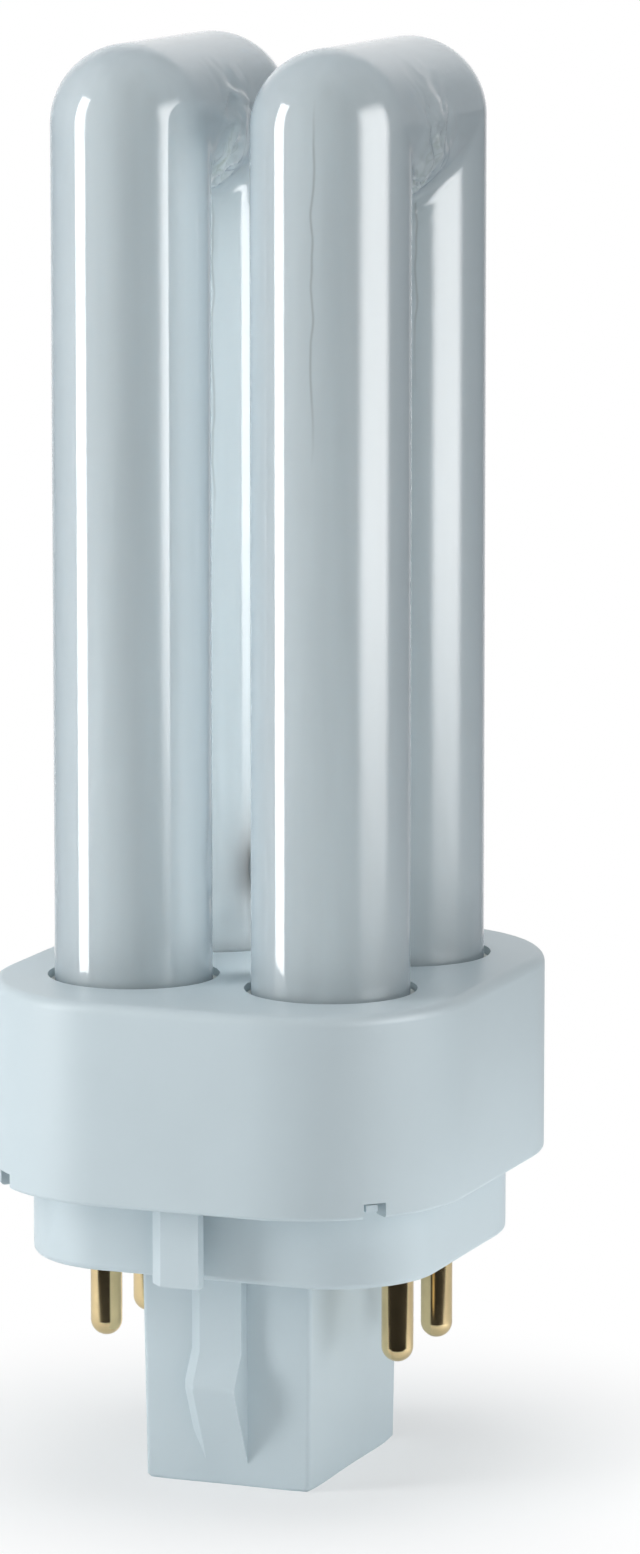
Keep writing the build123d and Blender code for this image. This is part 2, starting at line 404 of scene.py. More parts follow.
@dataclass(frozen=True)
class CoatedGlass(Finish):
    """Clear glass over a white powder coat, seen as a matt white under a hard gloss. Sizes in millimetres."""

    streaks: float = 0.06
    streak_squash: float = 0.06
    coat_roughness: float = 0.07
    coat_index: float = 1.75
    depth_of_glow: float = 9.0
    waver: float = 0.12
    line_width: float = 0.13
    line_sway: float = 1.6
    line_fades: tuple[float, float] = (6.0, 4.0)
    line_shade: float = 0.55
    leg_margin: float = 0.25
    line_colour: tuple[float, float, float] = (0.30, 0.33, 0.33)
    # Place, reach and colour of the crotch's greenish tint with painted crease shade.
    stain_place: tuple[float, float] = (-1.6, 93.6)
    stain_reach: tuple[float, float] = (2.4, 2.9)
    stain_colour: tuple[float, float, float] = (0.22, 0.27, 0.22)
    # Painted shade towards the rim, for the thicker glass seen at the edges.
    rim_colour: tuple[float, float, float] = (0.30, 0.37, 0.42)
    rim_power: float = 1.25
    lines: tuple[DrawLine, ...] = (DrawLine(Corner.FRONT_RIGHT, 8.0, 74.0, 100.0),
                                   DrawLine(Corner.BACK_LEFT, 23.0, 66.0, 93.0),
                                   DrawLine(Corner.BACK_RIGHT, 27.0, 78.0, 96.0))

    def detail(self, sheet: SurfaceSheet) -> dict[str, object]:
        """The settled powder's streaks, the crotch's greenish tint with painted crease shade, the dark lines,
        and the wavering glass over it.

        Args:
            sheet: the material's nodes.

        Returns:
            Inputs of the surface shader.
        """
        upright = sheet.add("ShaderNodeMapping", {"Vector": sheet.place,
                                                  "Scale": (1.0, 1.0, self.streak_squash)}).outputs["Vector"]
        powder = self.shades(sheet, sheet.noise(upright, scale=260.0, detail=3.0), self.streaks)
        line = self.draw_lines(sheet)
        swell = sheet.noise(upright, scale=190.0, detail=1.0)
        waver = sheet.bump(swell, strength=self.waver, distance=0.12 * MM)
        glow = self.depth_of_glow * MM
        return {"Base Color": self.wall_colour(sheet, powder, line),
                "Specular IOR Level": 0.2,
                "Subsurface Weight": 0.8, "Subsurface Radius": (glow, glow, glow), "Subsurface Scale": 1.0,
                "Coat Weight": 1.0, "Coat Roughness": self.coat_roughness, "Coat IOR": self.coat_index,
                "Coat Normal": sheet.bump(line, strength=0.25, distance=0.1 * MM, normal=waver)}

    def wall_colour(self, sheet: SurfaceSheet, powder: Socket, line: Socket) -> Socket:
        """The powder's colour with the crotch's greenish tint and painted crease shade, the dark lines, and
        painted shade towards the rim, which stands for the wall seen thick there.

        Args:
            sheet: the material's nodes.
            powder: the clean powder's colour.
            line: mask of the draw lines.

        Returns:
            The colour of the wall.
        """
        # The crotch's greenish tint, with painted shade in its creases.
        with_crease_shade = sheet.tinted(powder, self.stain_colour, self.crease_stain(sheet))
        marked = sheet.tinted(with_crease_shade, self.line_colour, sheet.math("MULTIPLY", line, self.line_shade))
        # Painted shade that grows towards the rim as the surface turns from the view, for the thicker glass
        # seen there.
        facing = sheet.add("ShaderNodeLayerWeight", {"Blend": 0.5}).outputs["Facing"]
        return sheet.tinted(marked, self.rim_colour, sheet.math("POWER", facing, self.rim_power))

    def crease_stain(self, sheet: SurfaceSheet) -> Socket:
        """Mask of the greenish creases over each crotch: partly the tint of the thick, puckered glass, partly
        painted shade in the creases.

        Args:
            sheet: the material's nodes.

        Returns:
            Near 1 in a crease and 0 away from the crotch.
        """
        _, y, z = sheet.split(sheet.place)
        deep = sheet.offset(y, self.stain_place[0] * MM, self.stain_reach[0] * MM)
        high = sheet.offset(z, self.stain_place[1] * MM, self.stain_reach[1] * MM)
        noise = sheet.noise(sheet.place, scale=320.0, detail=2.0, distortion=2.0)
        crease = sheet.stripe(noise, 0.5, 0.07)
        mottle = sheet.math("ADD", 0.3, sheet.math("MULTIPLY", crease, 0.7))
        return sheet.math("MULTIPLY", sheet.bell(deep, high), mottle)

    def draw_lines(self, sheet: SurfaceSheet) -> Socket:
        """Mask of the wavering dark lines on the legs.

        Args:
            sheet: the material's nodes.

        Returns:
            1 on a line and 0 beside it.
        """
        height = sheet.add("ShaderNodeCombineXYZ", {"Z": sheet.split(sheet.place)[2]}).outputs["Vector"]
        wander = sheet.noise(height, scale=140.0, detail=2.0)
        sway = sheet.math("MULTIPLY", sheet.math("SUBTRACT", wander, 0.5), self.line_sway * MM)
        first, second, third = (self.draw_line(sheet, line, sway) for line in self.lines)
        return sheet.math("MAXIMUM", first, sheet.math("MAXIMUM", second, third))

    def draw_line(self, sheet: SurfaceSheet, line: DrawLine, sway: Socket) -> Socket:
        """Mask of one dark line.

        Args:
            sheet: the material's nodes.
            line: the line.
            sway: how far it strays from its azimuth, in metres along the leg's girth.

        Returns:
            1 on the line and 0 beside it.
        """
        x, y, z = sheet.split(sheet.place)
        half = LEG_PITCH / 2 * MM
        across = sheet.math("SUBTRACT", x, line.corner.value[0] * half)
        deep = sheet.math("SUBTRACT", line.corner.value[1] * half, y)
        turn = sheet.math("SUBTRACT", sheet.math("ARCTAN2", across, deep), math.radians(line.azimuth))
        mask = sheet.stripe(sheet.math("MULTIPLY", turn, TUBE_RADIUS * MM), sway, self.line_width * MM)
        limit = (TUBE_RADIUS + self.leg_margin) * MM
        own_leg = sheet.math("LESS_THAN", sheet.squares(across, deep), limit ** 2)
        mask = sheet.math("MULTIPLY", mask, own_leg)
        for start, fade in ((line.low, self.line_fades[0]), (line.high, -self.line_fades[1])):
            span = sheet.add("ShaderNodeMapRange", {"Value": z, "From Min": start * MM,
                                                    "From Max": (start + fade) * MM})
            mask = sheet.math("MULTIPLY", mask, span.outputs["Result"])
        return mask


@dataclass(frozen=True)
class TurnedMetal(Finish):
    """Bare metal with fine rings from turning and a slight tarnish."""

    rings: float = 0.1
    tarnish: float = 0.08
    gloss_drift: float = 0.3

    def detail(self, sheet: SurfaceSheet) -> dict[str, object]:
        """The tarnish, the uneven polish and the rings.

        Args:
            sheet: the material's nodes.

        Returns:
            Inputs of the surface shader.
        """
        cloud = sheet.noise(sheet.place, scale=700.0, detail=4.0)
        band = sheet.add("ShaderNodeTexWave", {"Vector": sheet.place, "Scale": 1800.0, "Distortion": 1.0},
                         bands_direction="Z").outputs["Fac"]
        return {"Metallic": 1.0,
                "Base Color": self.shades(sheet, cloud, self.tarnish),
                "Roughness": sheet.stretch(cloud, self.roughness * (1 - self.gloss_drift),
                                           self.roughness * (1 + self.gloss_drift)),
                "Normal": sheet.bump(band, strength=self.rings, distance=0.01 * MM)}


@dataclass(frozen=True)
class Cement(Finish):
    """Dry cement with a sandy surface."""

    def detail(self, sheet: SurfaceSheet) -> dict[str, object]:
        """The sand and its shading.

        Args:
            sheet: the material's nodes.

        Returns:
            Inputs of the surface shader.
        """
        sand = sheet.noise(sheet.place, scale=2500.0, detail=5.0)
        return {"Base Color": self.shades(sheet, sand, spread=0.15),
                "Normal": sheet.bump(sand, strength=0.5, distance=0.1 * MM)}


def linked(name: str, content: bpy.types.ID) -> bpy.types.Object:
    """Puts a mesh, a light or a camera into the scene.

    Args:
        name: the object's name.
        content: the mesh, light or camera.

    Returns:
        The object, at the origin.
    """
    thing = bpy.data.objects.new(name, content)
    bpy.context.scene.collection.objects.link(thing)
    return thing


def loose_points(name: str, places: list[tuple[float, float, float]]) -> bpy.types.Object:
    """An object with one loose point at each place, for a geometry tree to build on.

    Args:
        name: the object's name.
        places: x, y and z of each point, in metres.

    Returns:
        The object.
    """
    mesh = bpy.data.meshes.new(name)
    mesh.from_pydata(places, [], [])
    return linked(name, mesh)


def mesh_from(name: str, points: np.ndarray, faces: list) -> bpy.types.Mesh:
    """Makes a closed mesh from points in metres, its doubles merged and its faces turned outwards.

    Args:
        name: the mesh's name.
        points: rows of x, y, z in the row frame.
        faces: point numbers of each face.

    Returns:
        The mesh.
    """
    mesh = bpy.data.meshes.new(name)
    mesh.from_pydata([tuple(p) for p in points], [], faces)
    work = bmesh.new()
    work.from_mesh(mesh)
    bmesh.ops.remove_doubles(work, verts=work.verts, dist=1e-7)
    bmesh.ops.recalc_face_normals(work, faces=work.faces)
    work.to_mesh(mesh)
    work.free()
    return mesh


def ring_of(x: np.ndarray | float, y: np.ndarray | float, z: np.ndarray | float) -> np.ndarray:
    """The points of one ring, from their coordinates or what they share of them."""
    return np.stack(np.broadcast_arrays(x, y, z), axis=-1)


def closed_skin(rings: list[np.ndarray]) -> Skin:
    """A skin over rings of points, with its first and last ring capped.

    Args:
        rings: the rings in order, with as many points each.

    Returns:
        The points and the faces.
    """
    around = len(rings[0])
    faces = []
    for i in range(len(rings) - 1):
        for j in range(around):
            a = i * around + j
            b = i * around + (j + 1) % around
            faces.append((a, b, b + around, a + around))
    last = (len(rings) - 1) * around
    faces.append(tuple(reversed(range(around))))
    faces.append(tuple(range(last, last + around)))
    return np.concatenate(rings), faces


def geometry_sheet(name: str, carried: str, sizes: tuple[str, ...],
                   counts: tuple[str, ...] = ()) -> tuple[NodeSheet, dict[str, Socket]]:
    """Starts a geometry tree with its named inputs.

    Args:
        name: the tree's name.
        carried: the name of its geometry input.
        sizes: the names of its inputs for lengths, angles and seeds.
        counts: the names of its inputs for whole numbers.

    Returns:
        The tree's nodes, and its inputs by name.
    """
    tree = bpy.data.node_groups.new(name, "GeometryNodeTree")
    tree.interface.new_socket(carried, in_out="INPUT", socket_type="NodeSocketGeometry")
    for size in sizes:
        tree.interface.new_socket(size, in_out="INPUT", socket_type="NodeSocketFloat")
    for count in counts:
        tree.interface.new_socket(count, in_out="INPUT", socket_type="NodeSocketInt")
    tree.interface.new_socket("Geometry", in_out="OUTPUT", socket_type="NodeSocketGeometry")
    sheet = NodeSheet(tree)
    source = sheet.add("NodeGroupInput")
    return sheet, {socket.name: socket for socket in source.outputs}


def stood_on(sheet: NodeSheet, points: Socket, shape: Socket) -> Socket:
    """Stands a copy of a shape on each point.

    Args:
        sheet: the geometry tree's nodes.
        points: the points.
        shape: the shape.

    Returns:
        The copies, made real.
    """
    copies = sheet.add("GeometryNodeInstanceOnPoints", {"Points": points, "Instance": shape})
    real = sheet.add("GeometryNodeRealizeInstances", {"Geometry": copies.outputs["Instances"]})
    return real.outputs["Geometry"]


def shaded(sheet: NodeSheet, geometry: Socket, sharp_angle: Socket | None = None) -> Socket:
    """Shades faces smooth, with sharp edges where they meet at a steep angle.

    Args:
        sheet: the geometry tree's nodes.
        geometry: what is shaded.
        sharp_angle: the angle from which an edge is sharp; without it none is.

    Returns:
        The shaded geometry.
    """
    smooth = sheet.add("GeometryNodeSetShadeSmooth", {"Geometry": geometry}).outputs["Geometry"]
    if sharp_angle is None:
        return smooth
    edge = sheet.add("GeometryNodeInputMeshEdgeAngle")
    steep = sheet.add("FunctionNodeCompare", {0: edge.outputs["Unsigned Angle"], 1: sharp_angle},
                      data_type="FLOAT", operation="GREATER_THAN")
    sharp = sheet.add("GeometryNodeSetShadeSmooth", {"Geometry": smooth, "Selection": steep.outputs["Result"],
                                                     "Shade Smooth": False}, domain="EDGE")
    return sharp.outputs["Geometry"]


def painted(sheet: NodeSheet, geometry: Socket, finish: bpy.types.Material) -> bpy.types.NodeTree:
    """Ends a geometry tree with the material of what it made.

    Args:
        sheet: the geometry tree's nodes.
        geometry: what the tree made.
        finish: the material.

    Returns:
        The finished tree.
    """
    paint = sheet.add("GeometryNodeSetMaterial", {"Geometry": geometry, "Material": finish})
    sheet.add("NodeGroupOutput", {"Geometry": paint.outputs["Geometry"]})
    return sheet.tree


def give_tree(thing: bpy.types.Object, tree: bpy.types.NodeTree, sizes: dict[str, float]) -> None:
    """Gives an object a geometry tree with its sizes.

    Args:
        thing: the object.
        tree: the geometry tree.
        sizes: the tree's named inputs and their values.
    """
    modifier = thing.modifiers.new(tree.name, "NODES")
    modifier.node_group = tree
    for socket in tree.interface.items_tree:
        if socket.in_out == "INPUT" and socket.name in sizes:
            modifier[socket.identifier] = sizes[socket.name]


def shaped(name: str, carrier: bpy.types.Object, tree: bpy.types.NodeTree,
           sizes: dict[str, float]) -> bpy.types.Object:
    """Runs a geometry tree on a carrier and keeps the plain mesh that it makes.

    Args:
        name: the made object's name.
        carrier: the object the tree works on; it is removed.
        tree: the geometry tree.
        sizes: the tree's named inputs and their values.

    Returns:
        The made object.
    """
    give_tree(carrier, tree, sizes)
    bpy.context.view_layer.update()
    graph = bpy.context.evaluated_depsgraph_get()
    made = bpy.data.meshes.new_from_object(carrier.evaluated_get(graph))
    made.name = name
    bpy.data.objects.remove(carrier)
    return linked(name, made)


@dataclass
class GlassForm:
    """Round union of two legs and a level crown, measured as a signed distance in millimetres."""

    radius: float
    pitch: float
    level: float
    crotch: float

    def distance(self, p: np.ndarray) -> np.ndarray:
        """Signed distance of points to one U of glass, its legs in the plane x = 0.

        Args:
            p: rows of x, y, z.

        Returns:
            The distance of each row, negative inside.
        """
        x, y, z = p[..., 0], np.abs(p[..., 1]), p[..., 2]
        side = y - self.pitch / 2
        up = z - self.level
        leg = np.hypot(x, side) - self.radius
        crown = np.hypot(x, up) - self.radius
        ball = np.sqrt(x * x + side * side + up * up) - self.radius
        return np.where(up > 0, np.where(side > 0, ball, crown),
                        np.where(side > 0, leg, self.blend(leg, crown, x, side, up)))

    def blend(self, leg: np.ndarray, crown: np.ndarray, x: np.ndarray, side: np.ndarray,
              up: np.ndarray) -> np.ndarray:
        """Union of leg and crown with the crotch rounded like a rolled ball.

        Args:
            leg: distance to the leg.
            crown: distance to the crown.
            x: place across the U.
            side: place beyond the leg's axis.
            up: place above the crown's axis.

        Returns:
            The distance to both.
        """
        k = self.crotch
        norm_leg = np.maximum(np.hypot(x, side), 1e-9)
        norm_crown = np.maximum(np.hypot(x, up), 1e-9)
        c = np.clip(x * x / (norm_leg * norm_crown), 0.0, 0.9999)
        a, b = leg - k, crown - k
        along_leg = -(a - c * b)
        along_crown = -(b - c * a)
        gap = np.sqrt(np.maximum(a * a + b * b - 2 * a * b * c, 0.0) / (1 - c * c))
        plain = np.minimum(leg, crown)
        inside = (along_leg > 0) & (along_crown > 0)
        return np.where(inside, np.minimum(plain, k - gap), plain)


@dataclass
class DischargeTube:
    """Two U-bends of coated glass joined by a short bridge, sealed at their ends. Sizes in millimetres."""

    finish: bpy.types.Material
    radius: float = TUBE_RADIUS
    pitch_across: float = LEG_PITCH
    pitch_deep: float = LEG_PITCH
    top: float = 102.999
    leg_end: float = 28.9
    end_radius: float = 2.4
    crotch: float = 1.8
    bridge_level: float = 42.7
    bridge_radius: float = 2.8
    bridge_weld: float = 1.1
    bridge_flare: float = 0.9
    bridge_curl: float = 0.55
    bridge_overlap: float = 2.6
    pinch: tuple[float, float, float] = (6.4, 2.2, 3.0)
    pinch_swell: float = 0.25
    pinch_taper: float = 0.12
    pinch_roundness: float = 0.45
    tip_radius: float = 1.5
    tip_length: float = 3.4
    pucker_depth: float = 4.2
    pucker_reach: float = 2.6
    pucker_rise: float = 2.4
    pucker_front: float = 1.4
    pucker_room: float = 4.0
    pucker_height: float = 2.1
    pucker_ridge: float = 0.12
    pucker_seed: float = 4.0
    around: int = 144
    crown_planes: int = 121

    def build(self) -> bpy.types.Object:
        """Builds the glass as one piece.

        Returns:
            The piece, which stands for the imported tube.
        """
        points, faces = [], []
        for skin, skin_faces in (self.u_bend(-1), self.u_bend(1), self.bridge(), *self.ends()):
            faces += [tuple(i + len(points) for i in face) for face in skin_faces]
            points += list(skin)
        blank = linked("glass_blank", mesh_from("glass_blank", np.array(points) * MM, faces))
        level = self.top - 2 * self.radius + self.pucker_rise
        tube = shaped("glass_tube", blank, self.pucker_tree(), {
            "Depth": self.pucker_depth * MM, "Reach": self.pucker_reach * MM, "Level": level * MM,
            "Seed": self.pucker_seed})
        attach(tube, BODY)
        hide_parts("discharge_tube")
        return tube

    def u_bend(self, side: int) -> Skin:
        """One U, as a skin of rings from one closed end over the crown to the other.

        Args:
            side: -1 for the left U and 1 for the right one.

        Returns:
            Its points and faces.
        """
        level = self.top - self.radius
        form = GlassForm(self.radius, self.pitch_deep, level, self.crotch)
        pivot = level - self.radius - self.crotch
        angles = np.linspace(0.0, 2 * math.pi, self.around, endpoint=False)
        corner = math.atan2(level - pivot, self.pitch_deep / 2)
        rings = self.leg_rings(angles, pivot, front=True)
        for turn in np.linspace(0.0, math.pi, self.crown_planes):
            out = np.array([0.0, -math.cos(turn), math.sin(turn)])
            if corner < turn < math.pi - corner:
                reach = (level - pivot) / math.sin(turn)
            else:
                reach = self.pitch_deep / 2 / abs(math.cos(turn))
            centre = np.array([0.0, 0.0, pivot]) + out * reach
            rays = np.outer(np.sin(angles), [1.0, 0.0, 0.0]) + np.outer(np.cos(angles), out)
            rings.append(centre + rays * self.reach_along(form, centre, rays)[:, None])
        rings += self.leg_rings(angles, pivot, front=False)
        skin, faces = closed_skin(rings)
        skin[:, 0] += side * self.pitch_across / 2
        return skin, faces

    def reach_along(self, form: GlassForm, centre: np.ndarray, rays: np.ndarray) -> np.ndarray:
        """How far each ray runs inside the glass, found by halving.

        Args:
            form: the U's form.
            centre: where the rays start.
            rays: unit directions.

        Returns:
            The length of each ray up to the surface.
        """
        near = np.zeros(len(rays))
        far = np.full(len(rays), 2.2 * self.radius)
        for _ in range(40):
            middle = (near + far) / 2
            inside = form.distance(centre + rays * middle[:, None]) < 0
            near = np.where(inside, middle, near)
            far = np.where(inside, far, middle)
        return (near + far) / 2

    def leg_rings(self, angles: np.ndarray, pivot: float, front: bool) -> list[np.ndarray]:
        """Rings of a straight leg between its rounded end and the start of the crown.

        Args:
            angles: where the points of a ring are.
            pivot: height at which the crown's planes start.
            front: True for the front leg, whose rings run up, False for the back one, down.

        Returns:
            The rings in order.
        """
        flat = self.radius - self.end_radius
        outline = [(flat * 0.5, self.leg_end)]
        outline += [(flat + self.end_radius * math.sin(t), self.leg_end + self.end_radius * (1 - math.cos(t)))
                    for t in np.linspace(0.0, math.pi / 2, 9)]
        low = self.leg_end + self.end_radius
        outline += [(self.radius, low + (pivot - low) * s) for s in np.linspace(0.0, 1.0, 60)[1:-1]]
        sign = -1 if front else 1
        middle = self.pitch_deep / 2
        return [ring_of(radius * np.sin(angles), sign * (middle + radius * np.cos(angles)), height)
                for radius, height in (outline if front else reversed(outline))]

    def pucker_tree(self) -> bpy.types.NodeTree:
        """Tree that puckers the glass where the bending squeezed it, beside each crotch.

        Returns:
            The tree, with the creases' depth, reach, level and seed as its named inputs.
        """
        sheet, given = geometry_sheet("puckered_glass", "Geometry", ("Depth", "Reach", "Level", "Seed"))
        place = sheet.add("GeometryNodeInputPosition").outputs["Position"]
        _, y, z = sheet.split(place)
        deep = sheet.offset(y, -self.pucker_front * MM, given["Reach"])
        high = sheet.offset(z, given["Level"], sheet.math("MULTIPLY", given["Reach"], self.pucker_height))
        under_top = sheet.math("SUBTRACT", self.top * MM, z)
        room = sheet.math("DIVIDE", under_top, self.pucker_room * MM, clamp=True)
        falloff = sheet.math("MULTIPLY", sheet.bell(deep, high), room)
        noise = sheet.noise(place, scale=250.0, detail=1.0, distortion=1.3, seed=given["Seed"])
        crease = sheet.math("ABSOLUTE", sheet.math("SUBTRACT", noise, 0.5))
        ridge = sheet.math("SUBTRACT", self.pucker_ridge, crease)
        depth = sheet.math("MULTIPLY", sheet.math("MULTIPLY", ridge, falloff), given["Depth"])
        normal = sheet.add("GeometryNodeInputNormal").outputs["Normal"]
        shift = sheet.add("ShaderNodeVectorMath", {0: normal, "Scale": depth}, operation="SCALE")
        moved = sheet.add("GeometryNodeSetPosition", {"Geometry": given["Geometry"],
                                                      "Offset": shift.outputs["Vector"]})
        return painted(sheet, shaded(sheet, moved.outputs["Geometry"]), self.finish)

    def bridge(self) -> Skin:
        """The short tube between the back legs, flared where it is welded to them.

        Returns:
            Its points and faces.
        """
        angles = np.linspace(0.0, 2 * math.pi, 48, endpoint=False)
        gap = self.pitch_across / 2 - self.radius
        reach = gap + self.bridge_overlap
        rings = []
        for x in np.linspace(-reach, reach, 41):
            beyond = max(0.0, abs(x) - gap + self.bridge_weld)
            radius = self.bridge_radius + self.bridge_curl * beyond * beyond / self.bridge_weld
            radius = min(radius, self.bridge_radius + self.bridge_flare)
            rings.append(ring_of(x, self.pitch_deep / 2 + radius * np.cos(angles),
                                 self.bridge_level + radius * np.sin(angles)))
        return closed_skin(rings)

    def ends(self) -> list[Skin]:
        """The flat pinches of the two electrode legs and the sealed tips of the two others.

        Returns:
            Points and faces of each.
        """
        angles = np.linspace(0.0, 2 * math.pi, 40, endpoint=False)
        return [end(side, angles) for side in (-1, 1) for end in (self.pinched_end, self.exhaust_tip)]

    def pinched_end(self, side: int, angles: np.ndarray) -> Skin:
        """The flat pinch under a front leg.

        Args:
            side: -1 for the left leg and 1 for the right one.
            angles: where the points of a ring are.

        Returns:
            Its points and faces.
        """
        width, thickness, length = self.pinch
        start = self.end_radius * 0.6
        cos, sin = np.cos(angles), np.sin(angles)
        wide = np.sign(cos) * np.abs(cos) ** self.pinch_roundness * width / 2
        thick = np.sign(sin) * np.abs(sin) ** self.pinch_roundness * thickness / 2
        rings = []
        for s in np.linspace(0.0, 1.0, 13):
            swell = 1.0 + self.pinch_swell * (1 - s) ** 3
            edge = 1.0 - self.pinch_taper * max(0.0, s - 0.85) / 0.15
            rings.append(ring_of(wide * edge + side * self.pitch_across / 2,
                                 thick * swell * edge - self.pitch_deep / 2,
                                 self.leg_end + start - s * (length + start)))
        return closed_skin(rings)

    def exhaust_tip(self, side: int, angles: np.ndarray) -> Skin:
        """The round tip under a back leg, through which the tube was filled.

        Args:
            side: -1 for the left leg and 1 for the right one.
            angles: where the points of a ring are.

        Returns:
            Its points and faces.
        """
        length = self.tip_length + self.tip_radius
        rings = []
        for s in np.linspace(0.0, 1.0, 17):
            left = length - s * length
            radius = self.tip_radius * math.sqrt(max(0.02, 1 - max(0.0, 1 - left / self.tip_radius) ** 2))
            rings.append(ring_of(side * self.pitch_across / 2 + radius * np.cos(angles),
                                 self.pitch_deep / 2 + radius * np.sin(angles),
                                 self.leg_end + self.tip_radius - s * length))
        return closed_skin(rings)


@dataclass
class PackedPieces:
    """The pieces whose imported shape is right: they get clean shading and a finish."""

    finishes: dict[str, bpy.types.Material]
    sharp_angle: float = math.radians(38)

    def shading_tree(self) -> bpy.types.NodeTree:
        """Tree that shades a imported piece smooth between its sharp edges.

        Returns:
            The tree, with the angle as its named input.
        """
        sheet, given = geometry_sheet("clean_shading", "Geometry", ("Sharp angle",))
        welded = sheet.add("GeometryNodeMergeByDistance", {"Geometry": given["Geometry"], "Distance": 1e-6})
        clean = shaded(sheet, welded.outputs["Geometry"], given["Sharp angle"])
        sheet.add("NodeGroupOutput", {"Geometry": clean})
        return sheet.tree

    def dress(self, nodes: dict[str, bpy.types.Object]) -> None:
        """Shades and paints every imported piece.

        Args:
            nodes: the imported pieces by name.
        """
        tree = self.shading_tree()
        for name, node in nodes.items():
            finish = next(material for start, material in self.finishes.items() if name.startswith(start))
            node.data.materials.clear()
            node.data.materials.append(finish)
            give_tree(node, tree, {"Sharp angle": self.sharp_angle})
            weights = node.modifiers.new("even_normals", "WEIGHTED_NORMAL")
            weights.mode = "FACE_AREA"
            weights.keep_sharp = True
            LOG.info("dressed %s", name)


@dataclass
class CementBeads:
    """Uneven beads of cement squeezed up between the legs and their holes. Sizes in millimetres."""

    finish: bpy.types.Material
    pitch: float = LEG_PITCH
    bead_ring: float = 5.9
    bead_radius: float = 0.28
    level: float = 35.95
    unevenness: float = 0.4
    seed: float = 7.0
    around: int = 96
    bead_sides: int = 14

    def build(self) -> bpy.types.Object:
        """Makes the four beads with one geometry tree.

        Returns:
            The piece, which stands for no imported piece.
        """
        half = self.pitch / 2 * MM
        places = [(c.value[0] * half, c.value[1] * half, self.level * MM) for c in Corner]
        beads = shaped("cement_beads", loose_points("bead_points", places), self.tree(), {
            "Ring radius": self.bead_ring * MM, "Bead radius": self.bead_radius * MM,
            "Unevenness": self.unevenness * MM, "Seed": self.seed})
        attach(beads, BODY)
        return beads

    def tree(self) -> bpy.types.NodeTree:
        """Geometry tree that lays an uneven bead round each point.

        Returns:
            The tree, with the points, the radii, the unevenness and the seed as its named inputs.
        """
        sheet, given = geometry_sheet("uneven_beads", "Points",
                                      ("Ring radius", "Bead radius", "Unevenness", "Seed"))
        ring = sheet.add("GeometryNodeCurvePrimitiveCircle", {"Resolution": self.around,
                                                              "Radius": given["Ring radius"]})
        bead = sheet.add("GeometryNodeCurvePrimitiveCircle", {"Resolution": self.bead_sides,
                                                              "Radius": given["Bead radius"]})
        skin = sheet.add("GeometryNodeCurveToMesh", {"Curve": ring.outputs["Curve"],
                                                     "Profile Curve": bead.outputs["Curve"]})
        real = stood_on(sheet, given["Points"], skin.outputs["Mesh"])
        place = sheet.add("GeometryNodeInputPosition").outputs["Position"]
        noise = sheet.noise(place, scale=420.0, detail=2.0, seed=given["Seed"])
        lift = sheet.math("MULTIPLY", sheet.math("SUBTRACT", noise, 0.5), given["Unevenness"])
        shift = sheet.add("ShaderNodeCombineXYZ", {"Z": lift})
        moved = sheet.add("GeometryNodeSetPosition", {"Geometry": real, "Offset": shift.outputs["Vector"]})
        return painted(sheet, shaded(sheet, moved.outputs["Geometry"]), self.finish)


